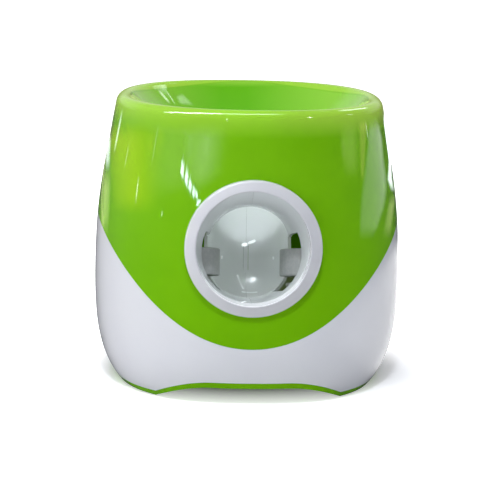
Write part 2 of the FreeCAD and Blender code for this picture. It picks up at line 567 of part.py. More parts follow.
# ---- rear panel --------------------------------------------------------------------
def make_panel():
    panel = body(1.3).cut(body(-3.5)).common(panel_outline())
    buttons = {"power_button": -BUTTON_X, "distance_button": BUTTON_X}
    for name, x in buttons.items():
        at = V(x, 0, PANEL_Z)
        panel = panel.cut(cylinder(BUTTON_R + BUTTON_GAP, at + V(0, 90, 0), at + V(0, 150, 0)))
        cap = cylinder(BUTTON_R, at + V(0, 123.5, 0), at + V(0, 133.4, 0))
        face = [e for e in cap.Edges if e.BoundBox.YMin > 133]
        cap = cap.makeFillet(1.6, face)
        collar = cylinder(BUTTON_R + 1.6, at + V(0, 122.4, 0), at + V(0, 123.8, 0))
        parts[name] = fuse(cap, collar)
    lenses = []
    for k in (-1, 0, 1):
        at = V(0, 0, PANEL_Z + 8.0 * k)
        lens = cylinder(2.0, at + V(0, 126.0, 0), at + V(0, 132.2, 0))
        panel = panel.cut(cylinder(2.0 + SEAM, at + V(0, 90, 0), at + V(0, 150, 0)))
        lenses.append(lens.makeFillet(0.9, [e for e in lens.Edges if e.BoundBox.YMin > 132]))
    parts["led_lenses"] = group(lenses)

    board = box(-42, 42, BOARD_Y, BOARD_Y + 1.6, 98, 146)
    screws = []
    for x in (-36, 36):
        for z in (108, 136):
            foot = V(x, 0, z)
            post = cylinder(2.8, foot + V(0, BOARD_Y + 1.6, 0), foot + V(0, 140, 0)).common(body(-2.0))
            panel = panel.fuse(post).cut(cylinder(1.0, foot + V(0, 110, 0), foot + V(0, 121, 0)))
            board = board.cut(cylinder(1.3, foot + V(0, 100, 0), foot + V(0, 120, 0)))
            screws.append(screw(foot + V(0, BOARD_Y, 0), V(0, 1, 0), 0.95, 8, 2.2, 1.4))
    parts["control_panel"] = panel.removeSplitter()
    parts["control_board"] = board
    parts["board_screws"] = group(screws)
    switches = []
    for x in buttons.values():
        base = box(x - 3, x + 3, BOARD_Y + 1.6, BOARD_Y + 5.4, PANEL_Z - 3, PANEL_Z + 3)
        plunger = cylinder(1.7, V(x, BOARD_Y + 5, PANEL_Z), V(x, 120.5, PANEL_Z))
        switches.append(fuse(base, plunger))
    parts["tact_switches"] = group(switches)
    chips = [box(-16, -4, BOARD_Y - 2.2, BOARD_Y, 104, 116), box(4, 22, BOARD_Y - 10, BOARD_Y, 126, 136),
             box(-32, -14, BOARD_Y - 8, BOARD_Y, 126, 132), box(6, 14, BOARD_Y - 1.6, BOARD_Y, 106, 112)]
    chips += [cylinder(4, V(x, BOARD_Y - 12, 114), V(x, BOARD_Y, 114)) for x in (20, 30)]
    parts["board_components"] = group(chips)
    parts["sounder"] = cylinder(6, V(-26, BOARD_Y - 7, 114), V(-26, BOARD_Y, 114)).cut(
        cylinder(1.2, V(-26, BOARD_Y - 8, 114), V(-26, BOARD_Y - 3, 114)))

    inlet = V(0, 0, 84)
    barrel = cylinder(5.0, inlet + V(0, 114, 0), inlet + V(0, 132.4, 0))
    lip = cylinder(7.0, inlet + V(0, 129.6, 0), inlet + V(0, 132.4, 0)).cut(body(0.1))
    nut = cylinder(7.5, inlet + V(0, 120, 0), inlet + V(0, 126, 0))
    socket = cylinder(2.9, inlet + V(0, 120.5, 0), inlet + V(0, 134, 0))
    pin = cylinder(1.0, inlet + V(0, 118, 0), inlet + V(0, 130, 0))
    parts["dc_inlet"] = fuse(barrel.fuse([lip, nut]).cut(socket), pin)
    parts["upper_shell"] = parts["upper_shell"].cut(
        cylinder(5.1, inlet + V(0, 100, 0), inlet + V(0, 140, 0)))


# ---- battery bay -------------------------------------------------------------------
def make_battery():
    y0, y1 = BAY_Y0 - 2.0, BAY_Y1 + 1.0
    tray = box(-BAY_X - 2.2, BAY_X + 2.2, y0 - 2.2, y1, 10, 48)
    tray = tray.cut(box(-BAY_X, BAY_X, y0, y1 - 2.2, 9, 46))
    tray = tray.cut(box(-12, 12, BAY_Y1 - 1.4, y1 + 1, 9, 28))
    divider = box(-BAY_X, BAY_X, 61.4, 62.6, 30, 46.5)
    tray = tray.fuse(divider).common(above_arch(FLOOR_T + 0.05))
    tray = tray.cut(group([box(x - 6, x + 6, BAY_Y0 - 5, BAY_Y0 + 3, 0, FLOOR_T + ARCH_H + 3) for x in (-30, 30)]))
    parts["battery_box"] = tray.removeSplitter()
    cell = 0
    contacts = []
    for row, y in enumerate(CELL_ROWS):
        flip = 1 if row == 0 else -1
        for slot in (-1, 1):
            cell += 1
            centre = V(slot * (CELL_LEN / 2 + 0.2), y, CELL_Z)
            reach = V(flip * CELL_LEN / 2, 0, 0)
            can = cylinder(CELL_R, centre - reach, centre + reach - V(flip * 1.6, 0, 0))
            nub = cylinder(3.2, centre, centre + reach)
            parts["battery_cell_%d" % cell] = fuse(can, nub)
        for end in (-1, 1):
            wall = end * BAY_X
            plate = sorted((wall, wall - end * 0.5))
            plate = box(plate[0], plate[1], y - 8, y + 8, CELL_Z - 8, CELL_Z + 8)
            tip = end * (CELL_LEN + 0.25)
            coil = cylinder(4.2, V(wall - end * 0.4, y, CELL_Z), V(tip, y, CELL_Z))
            contacts.append(fuse(plate, coil))
    parts["battery_contacts"] = group(contacts)


make_shells()
make_base()
make_ring()
make_chute()
motor_screws, mount_screws = [], []
for side, sx in (("left", -1), ("right", 1)):
    on_motor, under_base = make_drive(side, sx)
    motor_screws += on_motor
    mount_screws += under_base
parts["motor_screws"] = group(motor_screws)
parts["mount_screws"] = group(mount_screws)
make_feed()
make_panel()
make_battery()

os.makedirs("parts", exist_ok=True)
for name, shape in parts.items():
    solids = shape.Solids
    print(name, len(solids), "valid" if shape.isValid() else "INVALID", round(shape.Volume / 1000, 2), "cm3")
    shape.exportStep("parts/%s.step" % name)
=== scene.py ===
# %% [markdown]
# # A dog ball launcher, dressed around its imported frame
#
# The frame holds every solid of the machine at its real size: two shells, a hopper bowl, the
# launch ring, a chute, flywheels, motors, a feed lever, keys and a battery bay. This lesson gives
# them their finish. We load the frame first, because each piece of the looks is placed by it.

# %% Load the frame
import json
import math

import bpy
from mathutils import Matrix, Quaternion, Vector
from mathutils.bvhtree import BVHTree
from mathutils.interpolate import poly_3d_calc

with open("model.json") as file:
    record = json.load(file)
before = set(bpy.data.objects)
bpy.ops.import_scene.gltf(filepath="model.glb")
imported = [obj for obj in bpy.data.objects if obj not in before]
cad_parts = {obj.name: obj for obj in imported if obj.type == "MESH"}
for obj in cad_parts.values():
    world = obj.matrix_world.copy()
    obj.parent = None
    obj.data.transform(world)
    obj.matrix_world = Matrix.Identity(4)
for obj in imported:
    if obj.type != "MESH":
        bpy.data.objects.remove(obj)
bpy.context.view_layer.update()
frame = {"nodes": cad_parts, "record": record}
nodes = frame["nodes"]
MM = 0.001

# %% [markdown]
# ## The camera
#
# A product picture of a squat bucket like this is taken with a long lens from a little above the
# rim, so that the bowl shows as a thin ellipse. A camera could be framed by eye. Here its place, its
# target and a slight roll are given as numbers, because the reflections are worked out from them.

# %% Camera
CAMERA_AT = Vector((-0.06735, -1.49849, 0.42510))
CAMERA_TARGET = Vector((0.00324, 0.0, 0.10617))
CAMERA_ROLL = math.radians(1.233)
LENS_MM, SENSOR_MM = 126.62, 36.0

camera = bpy.data.objects.new("camera", bpy.data.cameras.new("camera"))
camera.data.lens = LENS_MM
camera.data.sensor_width = SENSOR_MM
camera.data.clip_start = 0.05
look = (CAMERA_TARGET - CAMERA_AT).to_track_quat("-Z", "Y")
camera_turn = look @ Quaternion((0, 0, 1), CAMERA_ROLL)
camera.rotation_mode = "QUATERNION"
camera.rotation_quaternion = camera_turn
camera.location = CAMERA_AT
bpy.context.scene.collection.objects.link(camera)
bpy.context.scene.camera = camera
print("camera turned", [round(math.degrees(a), 2) for a in look.to_euler()])

# %% [markdown]
# ## Helpers for node trees
#
# A material is a small graph. Writing `links.new(...)` for each wire is hard to read, so a short
# helper adds one node, sets its inputs and connects what is a socket. The others build on it.


# %% Adding a node
def feed(tree, socket, value):
    """Links a value that is a socket, and sets any other."""
    if isinstance(value, bpy.types.NodeSocket):
        tree.links.new(value, socket)
    else:
        socket.default_value = value


def put(tree, kind, **values):
    """Adds a node and feeds its inputs: by name, with _ for a space, or by number, as i0, i1."""
    node = tree.nodes.new(kind)
    for name, value in values.items():
        key = int(name[1:]) if name[1:].isdigit() else name.replace("_", " ")
        feed(tree, node.inputs[key], value)
    return node


print("helpers:", feed.__name__, put.__name__)


# %% Arithmetic with sockets
def maths(tree, operation, *values, clamp=False):
    """One Math node; values are numbers or sockets."""
    node = tree.nodes.new("ShaderNodeMath")
    node.operation = operation
    node.use_clamp = clamp
    for socket, value in zip(node.inputs, values):
        feed(tree, socket, value)
    return node.outputs[0]


def product(tree, first, *others):
    """The product of two or more values."""
    for other in others:
        first = maths(tree, "MULTIPLY", first, other)
    return first


def vector(tree, operation, *values, result="Vector"):
    """One Vector Math node; values are vectors, numbers or sockets."""
    node = tree.nodes.new("ShaderNodeVectorMath")
    node.operation = operation
    for socket, value in zip(node.inputs, values):
        feed(tree, socket, value)
    return node.outputs[result]


def span(tree, value, low, high, to_low=0.0, to_high=1.0):
    """Maps low..high to to_low..to_high and clamps."""
    node = put(tree, "ShaderNodeMapRange", i0=value, i1=low, i2=high, i3=to_low, i4=to_high)
    return node.outputs[0]


print("arithmetic:", [f.__name__ for f in (maths, product, vector, span)])


# %% Colours, places and directions
def mix(tree, factor, first, second):
    """Mixes two colours."""
    node = tree.nodes.new("ShaderNodeMix")
    node.data_type = "RGBA"
    for index, value in ((0, factor), (6, first), (7, second)):
        feed(tree, node.inputs[index], value)
    return node.outputs[2]


def spot_on(tree):
    """Position on the piece, in metres."""
    return tree.nodes.new("ShaderNodeTexCoord").outputs["Object"]


def facing_of(tree):
    """The direction in which the surface faces."""
    return tree.nodes.new("ShaderNodeNewGeometry").outputs["Normal"]


def axes(tree, value):
    """The X, Y and Z of a vector."""
    return put(tree, "ShaderNodeSeparateXYZ", Vector=value).outputs


print("places:", [f.__name__ for f in (mix, spot_on, facing_of, axes)])

# %% [markdown]
# ## Effects that several finishes share
#
# Glossy mouldings are never perfectly even. The mould leaves a very soft waviness, hands leave
# faint wipes and hairlines, dust settles where nothing wipes it, and edges catch the light where
# they are rubbed. Each of these is one node group, so every material can use it at its own strength.


# %% Making and using an effect
def effect(name, inputs, outputs):
    """Starts a node group with float inputs and the named outputs."""
    group = bpy.data.node_groups.new(name, "ShaderNodeTree")
    for label, value in inputs.items():
        socket = group.interface.new_socket(name=label, in_out="INPUT", socket_type="NodeSocketFloat")
        socket.default_value = value
    for label in outputs:
        group.interface.new_socket(name=label, in_out="OUTPUT", socket_type="NodeSocketFloat")
    start = group.nodes.new("NodeGroupInput")
    end = group.nodes.new("NodeGroupOutput")
    return group, start.outputs, end.inputs


def millimetres(group):
    """Position on the piece, in millimetres, so that a noise scale is one over a real size."""
    return vector(group, "DIVIDE", spot_on(group), (MM, MM, MM))


def use(tree, group, **values):
    """Places an effect in a material, with the material's own values."""
    node = tree.nodes.new("ShaderNodeGroup")
    node.node_tree = group
    for name, value in values.items():
        node.inputs[name].default_value = value
    return node.outputs


print("effects are made by", effect.__name__, "and placed by", use.__name__)

# %% Effect: soft waviness of a moulded skin
group, given, out = effect("moulded_skin", {"Size": 9.0, "Grain": 0.25}, ["Height", "Patches"])
at = millimetres(group)
swell = maths(group, "DIVIDE", 1.0, given["Size"])
wave = put(group, "ShaderNodeTexNoise", Vector=at, Scale=swell, Detail=1.0)
grain = put(group, "ShaderNodeTexNoise", Vector=at, Scale=2.2, Detail=2.0)
fine = product(group, grain.outputs["Fac"], given["Grain"])
feed(group, out["Height"], maths(group, "ADD", wave.outputs["Fac"], fine))
cloud = put(group, "ShaderNodeTexNoise", Vector=at, Scale=0.021, Detail=3.0)
feed(group, out["Patches"], span(group, cloud.outputs["Fac"], 0.35, 0.65))
moulded_skin = group
print("effect", group.name, "->", [s.name for s in out if s.name])

# %% Effect: wipes and hairlines, and dust
group, given, out = effect("handling", {"Hairlines": 0.5, "Dust": 0.3}, ["Marks", "Dust"])
at = millimetres(group)
strokes = []
for turn, stretch in ((0.5, 0.9), (-0.9, 1.3)):
    line = put(group, "ShaderNodeMapping", Vector=at, Rotation=(0.3, turn, turn), Scale=(0.02, stretch, 0.5))
    noise = put(group, "ShaderNodeTexNoise", Vector=line.outputs[0], Scale=1.6, Detail=3.0, Roughness=0.7)
    strokes.append(span(group, noise.outputs["Fac"], 0.62, 0.74))
hairlines = product(group, maths(group, "MAXIMUM", *strokes), given["Hairlines"])
wipe = put(group, "ShaderNodeTexNoise", Vector=at, Scale=0.03, Detail=4.0, Roughness=0.6)
soft = product(group, span(group, wipe.outputs["Fac"], 0.4, 0.7), 0.5)
feed(group, out["Marks"], maths(group, "ADD", hairlines, soft, clamp=True))
speck = put(group, "ShaderNodeTexVoronoi", Vector=at, Scale=0.33)
gate = put(group, "ShaderNodeTexNoise", Vector=at, Scale=0.12, Detail=2.0)
kept = product(group, span(group, speck.outputs["Distance"], 0.10, 0.03),
               span(group, gate.outputs["Fac"], 0.52, 0.62))
upward = span(group, axes(group, facing_of(group))["Z"], 0.1, 0.9, 0.15, 1.0)
settled = product(group, kept, upward)
feed(group, out["Dust"], maths(group, "MULTIPLY", settled, given["Dust"], clamp=True))
handling = group
print("effect", group.name, "->", [s.name for s in out if s.name])

# %% Effect: rubbed edges
SHARP = 0.52                    # pointiness of an edge that starts to be rubbed
group, given, out = effect("rubbed_edge", {"Width": 0.04}, ["Edge"])
bend = group.nodes.new("ShaderNodeNewGeometry").outputs["Pointiness"]
edge = span(group, bend, SHARP, maths(group, "ADD", SHARP, given["Width"]))
break_up = put(group, "ShaderNodeTexNoise", Vector=millimetres(group), Scale=0.35, Detail=4.0)
feed(group, out["Edge"], product(group, edge, span(group, break_up.outputs["Fac"], 0.42, 0.62)))
rubbed_edge = group
print("effect", group.name, "->", [s.name for s in out if s.name])

# %% [markdown]
# ## One recipe for moulded finishes
#
# All plastics of this machine differ only in colour, gloss and grain. So one function writes the
# graph: a base colour that drifts a little between two tones, lighter rubbed edges, pale dust,
# roughness raised by handling marks, and a bump from the moulded skin. What is constant over the
# surface, such as the index of refraction, is set on the shader itself.

# %% The moulded recipe
DUST_TONE = (0.62, 0.61, 0.58, 1)


def moulding(name, tone, tone_b, edge, gloss, wave=9.0, grain=0.25, depth=0.02, hairlines=0.5,
             dust=0.3, wear=0.6, spread=0.06, metallic=0.0, ior=1.46):
    """A material from two near tones, an edge tone, and the strength of each shared effect."""
    material = bpy.data.materials.new(name)
    material.use_nodes = True
    tree = material.node_tree
    tree.nodes.clear()
    skin = use(tree, moulded_skin, Size=wave, Grain=grain)
    hands = use(tree, handling, Hairlines=hairlines, Dust=dust)
    worn = product(tree, use(tree, rubbed_edge)["Edge"], wear)
    colour = mix(tree, skin["Patches"], (*tone, 1), (*tone_b, 1))
    colour = mix(tree, worn, colour, (*edge, 1))
    colour = mix(tree, hands["Dust"], colour, DUST_TONE)
    rough = maths(tree, "MULTIPLY_ADD", hands["Marks"], spread, gloss)
    rough = maths(tree, "MULTIPLY_ADD", hands["Dust"], 0.4, rough)
    rough = maths(tree, "MULTIPLY_ADD", worn, spread, rough, clamp=True)
    bump = put(tree, "ShaderNodeBump", Height=skin["Height"], Strength=0.4, Distance=depth * MM)
    shader = put(tree, "ShaderNodeBsdfPrincipled", Base_Color=colour, Roughness=rough,
                 Normal=bump.outputs[0], Metallic=metallic, IOR=ior)
    put(tree, "ShaderNodeOutputMaterial", Surface=shader.outputs[0])
    return material


def shader_of(material):
    """The one Principled shader of a material."""
    return next(node for node in material.node_tree.nodes if node.type == "BSDF_PRINCIPLED")


print("recipe", moulding.__name__, "uses", [g.name for g in (moulded_skin, handling, rubbed_edge)])

# %% [markdown]
# ## The finishes
#
# Each tuple is a linear colour. The green cover and the white cover are high-gloss injection
# mouldings, the chute is a paler, slightly milky grey, and the tyres are soft grey rubber.

# %% Finishes of the covers and the chute
finishes = {
    "green_shell": moulding("green_shell", (0.160, 0.445, 0.002), (0.175, 0.465, 0.003), (0.30, 0.62, 0.05),
                            0.03, wave=14, grain=0.05, depth=0.010, dust=0.10, wear=0.0, spread=0.04),
    "white_shell": moulding("white_shell", (0.72, 0.72, 0.755), (0.735, 0.735, 0.765), (0.90, 0.90, 0.90),
                            0.10, wave=14, grain=0.05, depth=0.010, dust=0.10, wear=0.0, spread=0.05),
    "chute_plastic": moulding("chute_plastic", (0.68, 0.71, 0.715), (0.72, 0.75, 0.75), (0.80, 0.82, 0.82),
                              0.20, wave=7, grain=0.15, depth=0.02, dust=0.1, wear=0.0),
    "tyre_rubber": moulding("tyre_rubber", (0.38, 0.40, 0.385), (0.44, 0.46, 0.445), (0.50, 0.51, 0.49),
                            0.48, wave=3, grain=0.8, depth=0.05, dust=0.5, spread=0.2),
    "foot_rubber": moulding("foot_rubber", (0.022, 0.022, 0.024), (0.035, 0.035, 0.037), (0.09, 0.09, 0.09),
                            0.62, wave=2, grain=0.9, depth=0.08, dust=0.8, spread=0.2),
    "panel_plastic": moulding("panel_plastic", (0.030, 0.031, 0.034), (0.045, 0.046, 0.05), (0.11, 0.11, 0.11),
                              0.36, wave=1.6, grain=0.9, depth=0.06, dust=0.35),
    "power_button": moulding("power_button", (0.70, 0.70, 0.71), (0.74, 0.74, 0.745), (0.85, 0.85, 0.85),
                             0.24, wave=5, grain=0.4, depth=0.03),
    "distance_button": moulding("distance_button", (0.17, 0.46, 0.01), (0.20, 0.50, 0.015), (0.34, 0.62, 0.08),
                                0.24, wave=5, grain=0.4, depth=0.03),
    "led_lens": moulding("led_lens", (0.72, 0.78, 0.66), (0.78, 0.82, 0.72), (0.9, 0.92, 0.85),
                         0.15, wave=3, grain=0.1, depth=0.02, dust=0.1),
}
print("outer finishes:", list(finishes))

# %% Finishes of the inner works
finishes.update({
    "hub_plastic": moulding("hub_plastic", (0.035, 0.036, 0.040), (0.05, 0.05, 0.055), (0.12, 0.12, 0.12),
                            0.38, wave=4, grain=0.6, depth=0.04),
    "screw_steel": moulding("screw_steel", (0.52, 0.51, 0.49), (0.60, 0.60, 0.59), (0.80, 0.80, 0.80),
                            0.28, wave=1.0, grain=0.5, depth=0.03, metallic=1.0, spread=0.2),
    "motor_steel": moulding("motor_steel", (0.55, 0.55, 0.53), (0.62, 0.62, 0.61), (0.80, 0.80, 0.80),
                            0.30, wave=2.0, grain=0.4, depth=0.02, metallic=1.0, spread=0.2),
    "black_plastic": moulding("black_plastic", (0.018, 0.018, 0.020), (0.03, 0.03, 0.033), (0.08, 0.08, 0.08),
                              0.40, wave=3, grain=0.7, depth=0.05),
    "inner_plastic": moulding("inner_plastic", (0.58, 0.575, 0.55), (0.63, 0.625, 0.60), (0.75, 0.75, 0.73),
                              0.38, wave=4, grain=0.6, depth=0.05),
    "circuit_board": moulding("circuit_board", (0.012, 0.12, 0.045), (0.02, 0.16, 0.06), (0.30, 0.26, 0.10),
                              0.34, wave=0.8, grain=0.8, depth=0.04),
    "cell_wrap": moulding("cell_wrap", (0.42, 0.30, 0.08), (0.48, 0.35, 0.10), (0.6, 0.5, 0.3),
                          0.25, wave=6, grain=0.2, depth=0.02, metallic=0.6),
})
slot_of = {part["node"]: part["material_slot"] for part in frame["record"]["subparts"]}
for name, piece in nodes.items():
    piece.data.materials.clear()
    piece.data.materials.append(finishes[slot_of[name]])
print("finishes:", len(finishes), "for", len(slot_of), "nodes")

# %% [markdown]
# ## Painted light on the green
#
# The green cover gets painted light: a weak glow, masked by height and radius, on the cover's inner side,
# which is seen in the slots of the tunnel, on the rounded rim, and at the two sides of the bowl. It stands for
# the light that falls on these places and crosses the thin plastic. Between them the bowl's colour is a deeper
# green, painted shade for the light that bounces about in it. Real scattering would need thin walls and many
# samples.

# %% Where the glow is painted
BOWL_EDGE = (0.1025, 0.1005)            # radii between the rim's crest and the bowl
UPPER_HALF = (0.170, 0.180)             # heights between the wall and the rim's part
RIM_HEIGHTS, CREST_HEIGHTS = (0.221, 0.240), (0.2370, 0.2415)
WINDOW_HEIGHTS = (0.100, 0.112)         # the slots show the cover's inner side above these
BOWL_SHADE_X, BOWL_SHADE = 0.010, (0.012, 0.085)
INNER_GLOW, RIM_GLOW = 0.14, (0.14, 0.21)
SIDE_GLOW, CREST_GLOW = 0.15, 0.16

green = finishes["green_shell"]
tree = green.node_tree
place = spot_on(tree)
height = axes(tree, place)["Z"]
off_middle = maths(tree, "ABSOLUTE", axes(tree, place)["X"])
radius = vector(tree, "LENGTH", vector(tree, "MULTIPLY", place, (1, 1, 0)), result="Value")
turned = vector(tree, "DOT_PRODUCT", place, facing_of(tree), result="Value")
# painted light: a glow on the cover's inner side, seen through the slots
inner = product(tree, span(tree, turned, -0.02, -0.06, 0.0, INNER_GLOW), span(tree, height, *WINDOW_HEIGHTS))
bowl = product(tree, span(tree, radius, *BOWL_EDGE), span(tree, height, *UPPER_HALF))
# painted light: a glow on the rounded rim, stronger away from the middle
rim = product(tree, span(tree, height, *RIM_HEIGHTS), maths(tree, "SUBTRACT", 1.0, bowl),
              span(tree, off_middle, 0.0, 0.10, *RIM_GLOW))
off_shade = maths(tree, "ABSOLUTE", maths(tree, "ADD", axes(tree, place)["X"], BOWL_SHADE_X))
side = span(tree, off_shade, *BOWL_SHADE, 0.0, SIDE_GLOW)
crest = span(tree, height, *CREST_HEIGHTS, 0.0, CREST_GLOW)
# painted light: a glow at the two sides and at the crest of the bowl
bowl_glow = product(tree, bowl, maths(tree, "MAXIMUM", side, crest))
print("masks: inner, rim and bowl of", green.name)

# %% The painted glow and the bowl's painted shade
BOWL_PAINTED_SHADE = (0.115, 0.430, 0.002, 1)
LOW_LIGHT, HIGH_LIGHT = (0.16, 0.445, 0.01, 1), (0.95, 0.97, 0.25, 1)
shader = shader_of(green)
plain = shader.inputs["Base Color"].links[0].from_socket
light = mix(tree, span(tree, height, *UPPER_HALF), LOW_LIGHT, HIGH_LIGHT)
strength = maths(tree, "ADD", inner, maths(tree, "MAXIMUM", rim, bowl_glow))
# painted shade: inside the bowl the colour is mixed towards a darker green
feed(tree, shader.inputs["Base Color"], mix(tree, bowl, plain, BOWL_PAINTED_SHADE))
feed(tree, shader.inputs["Emission Color"], light)
feed(tree, shader.inputs["Emission Strength"], strength)
print("glow in", green.name)

# %% [markdown]
# ## The chute's painted glow
#
# The chute's pale plastic gets painted light: a weak glow, stronger towards the back, so that its deep end is
# not really dark where the cup would otherwise fall into shade.

# %% Painted glow in the chute
CHUTE_LIGHT = (0.92, 0.98, 1.0, 1)
FRONT_Y, BACK_Y = -0.07, 0.03
chute_shader = shader_of(finishes["chute_plastic"])
chute_shader.inputs["Emission Color"].default_value = CHUTE_LIGHT
tree = finishes["chute_plastic"].node_tree
depth = axes(tree, spot_on(tree))["Y"]
# painted light: the chute's glow rises from the front to the back
feed(tree, chute_shader.inputs["Emission Strength"], span(tree, depth, FRONT_Y, BACK_Y, 0.010, 0.10))
print("glow in", finishes["chute_plastic"].name)

# %% [markdown]
# ## The launch ring
#
# The ring's face looks fuller than flat plastic would. Its shape is right, so only its shading leans outwards
# from the bore. The lower half of its inner edge faces up and gets a painted highlight, a glow that stands for
# the light falling from above. The ring needs a material of its own, a copy of the white one.

# %% Crowned launch ring
RING_CENTRE, CROWN = (0.0, -0.1315, 0.1345), 0.65
EDGE_LIGHT, EDGE_GLOW = (0.95, 0.98, 1.0, 1), 0.30
ring = finishes["white_shell"].copy()
ring.name = "ring_white"
tree = ring.node_tree
place, facing = spot_on(tree), facing_of(tree)
outward = vector(tree, "MULTIPLY", vector(tree, "SUBTRACT", place, RING_CENTRE), (1, 0, 1))
lean = vector(tree, "MULTIPLY", vector(tree, "NORMALIZE", outward), (CROWN, CROWN, CROWN))
bump = next(node for node in tree.nodes if node.type == "BUMP")
feed(tree, bump.inputs["Normal"], vector(tree, "NORMALIZE", vector(tree, "ADD", facing, lean)))
# painted highlight: a glow on the lower inner edge where it faces up
faces_up = span(tree, axes(tree, facing)["Z"], 0.25, 0.6, 0.0, EDGE_GLOW)
lower_half = span(tree, axes(tree, place)["Z"], 0.130, 0.110)
shader = shader_of(ring)
shader.inputs["Emission Color"].default_value = EDGE_LIGHT
feed(tree, shader.inputs["Emission Strength"], product(tree, faces_up, lower_half))
nodes["bezel_ring"].data.materials[0] = ring
print("ring leans", CROWN, "outwards")

# %% [markdown]
# ## The studio floor
#
# The machine stands on a white sweep. A floor that is lit until it turns white would also light
# the white cover from below. So the floor glows a little for the camera alone, weakly near the
# machine, which keeps the soft contact shadow and leaves the object's own shading in peace.

# %% Floor
FLOOR_R = 9.0
GLOW_NEAR, GLOW_FAR = 0.10, 1.0
GLOW_FROM, GLOW_TO = 0.068, 0.125
GLOW_SHAPE = (0.6, 1.0, 1.0)
bpy.ops.mesh.primitive_circle_add(vertices=96, radius=FLOOR_R, fill_type="NGON", location=(0, 0, 0))
floor = bpy.context.object
floor.name = "studio_floor"
floor_finish = bpy.data.materials.new("studio_floor")
floor_finish.use_nodes = True
tree = floor_finish.node_tree
paper = shader_of(floor_finish)
paper.inputs["Base Color"].default_value = (0.84, 0.84, 0.85, 1)
paper.inputs["Roughness"].default_value = 0.9
away = vector(tree, "LENGTH", vector(tree, "MULTIPLY", spot_on(tree), GLOW_SHAPE), result="Value")
to_camera = tree.nodes.new("ShaderNodeLightPath").outputs["Is Camera Ray"]
strength = product(tree, to_camera, span(tree, away, GLOW_FROM, GLOW_TO, GLOW_NEAR, GLOW_FAR))
glow = put(tree, "ShaderNodeEmission", Strength=strength)
both = put(tree, "ShaderNodeAddShader", i0=paper.outputs[0], i1=glow.outputs[0])
feed(tree, tree.nodes["Material Output"].inputs["Surface"], both.outputs[0])
floor.data.materials.append(floor_finish)
floor.visible_glossy = False
print("floor radius", FLOOR_R, "m")

# %% [markdown]
# ## The room
#
# Gloss is only as good as what it reflects. The light that falls on the machine and the room that
# it mirrors are set apart. The mirrored room is dim in front, where the camera stands, and below,
# so the covers keep their deep colour there. A bright band low at the back draws the pale line
# along the crest of the rim. To the camera the room is plain white.

# %% What the gloss mirrors
MIRRORED_DIM, MIRRORED_BRIGHT = 0.12, 0.36
BACK_BAND = 0.45
world = bpy.data.worlds.new("studio")
bpy.context.scene.world = world
world.use_nodes = True
tree = world.node_tree
tree.nodes.clear()
way = axes(tree, tree.nodes.new("ShaderNodeTexCoord").outputs["Generated"])
mirrored = product(tree, span(tree, way["Y"], -0.8, 0.4, MIRRORED_DIM, MIRRORED_BRIGHT),
                   span(tree, way["Z"], -0.3, 0.15, 0.3, 1.0),
                   span(tree, way["X"], -0.7, 0.7, 1.3, 0.5),
                   span(tree, way["Y"], 0.4, 0.9, 1.0, 0.5))
band = product(tree, span(tree, way["Z"], 0.05, 0.18), span(tree, way["Z"], 0.62, 0.48),
               span(tree, way["Y"], 0.35, 0.6, 0.0, BACK_BAND))
mirrored = maths(tree, "ADD", mirrored, band)
print("mirrored room:", MIRRORED_DIM, "to", MIRRORED_BRIGHT, "and a band of", BACK_BAND)

# %% What each kind of ray sees
ROOM_LIGHT = 0.27
rays = tree.nodes.new("ShaderNodeLightPath").outputs
around = put(tree, "ShaderNodeBackground", Color=(0.93, 0.95, 1.0, 1), Strength=ROOM_LIGHT)
gloss = put(tree, "ShaderNodeBackground", Color=(0.93, 0.96, 1.0, 1), Strength=mirrored)
behind = put(tree, "ShaderNodeBackground", Color=(1, 1, 1, 1), Strength=1.0)
lit = put(tree, "ShaderNodeMixShader", i0=rays["Is Glossy Ray"], i1=around.outputs[0], i2=gloss.outputs[0])
shown = put(tree, "ShaderNodeMixShader", i0=rays["Is Camera Ray"], i1=lit.outputs[0], i2=behind.outputs[0])
put(tree, "ShaderNodeOutputWorld", Surface=shown.outputs[0])
bpy.context.scene.view_settings.view_transform = "Standard"
print("room light", ROOM_LIGHT)

# %% [markdown]
# ## Lamps
#
# Area lamps give soft light. Each is set by how bright its face is, not by its watts, because that
# is easy to compare from lamp to lamp. None of them is mirrored: the reflectors further down draw
# the highlights, so that light and highlights can be set apart.

# %% Area lamps
MIDDLE = (0, 0, 0.12)
CEILING_LAMP = Vector((-0.14, -1.464, 1.885))


def lamp(name, at, towards, width, height, radiance, tint=(1, 1, 1)):
    """An area lamp of a given brightness per area, aimed at a point and hidden from gloss."""
    box = bpy.data.objects.new(name, bpy.data.lights.new(name, "AREA"))
    box.data.shape = "RECTANGLE"
    box.data.size = width
    box.data.size_y = height
    box.data.energy = radiance * math.pi * width * height
    box.data.color = tint
    box.rotation_mode = "QUATERNION"
    box.rotation_quaternion = (Vector(towards) - Vector(at)).to_track_quat("-Z", "Y")
    box.location = at
    box.visible_camera = False
    box.visible_glossy = False
    bpy.context.scene.collection.objects.link(box)
    return box


lamp("overhead", (-0.30, 0.55, 2.1), (0, 0, 0.24), 0.8, 0.7, 8.0)
lamp("high_left", (-1.7, -0.5, 1.75), MIDDLE, 0.9, 0.9, 4.5)
lamp("front_fill", (-1.2, -2.2, 0.5), MIDDLE, 1.4, 1.2, 0.5)
lamp("left_wall", (-1.9, -0.9, 1.0), MIDDLE, 1.2, 1.6, 1.6)
lamp("right_wall", (1.9, -0.1, 0.8), MIDDLE, 0.9, 1.4, 0.9)
lamp("key", CEILING_LAMP, (0, -0.05, 0.2), 0.20, 0.16, 200.0, tint=(0.92, 0.97, 1.05))

# %% [markdown]
# ## The beam down the throat
#
# The drop tube would stay dark, so a narrow beam goes down through the hopper's throat, from where
# the ceiling lamp is. It lights a lens-shaped patch on the back of the tube and touches nothing
# else in view. The cone's angle follows from the throat's radius and the lamp's distance.

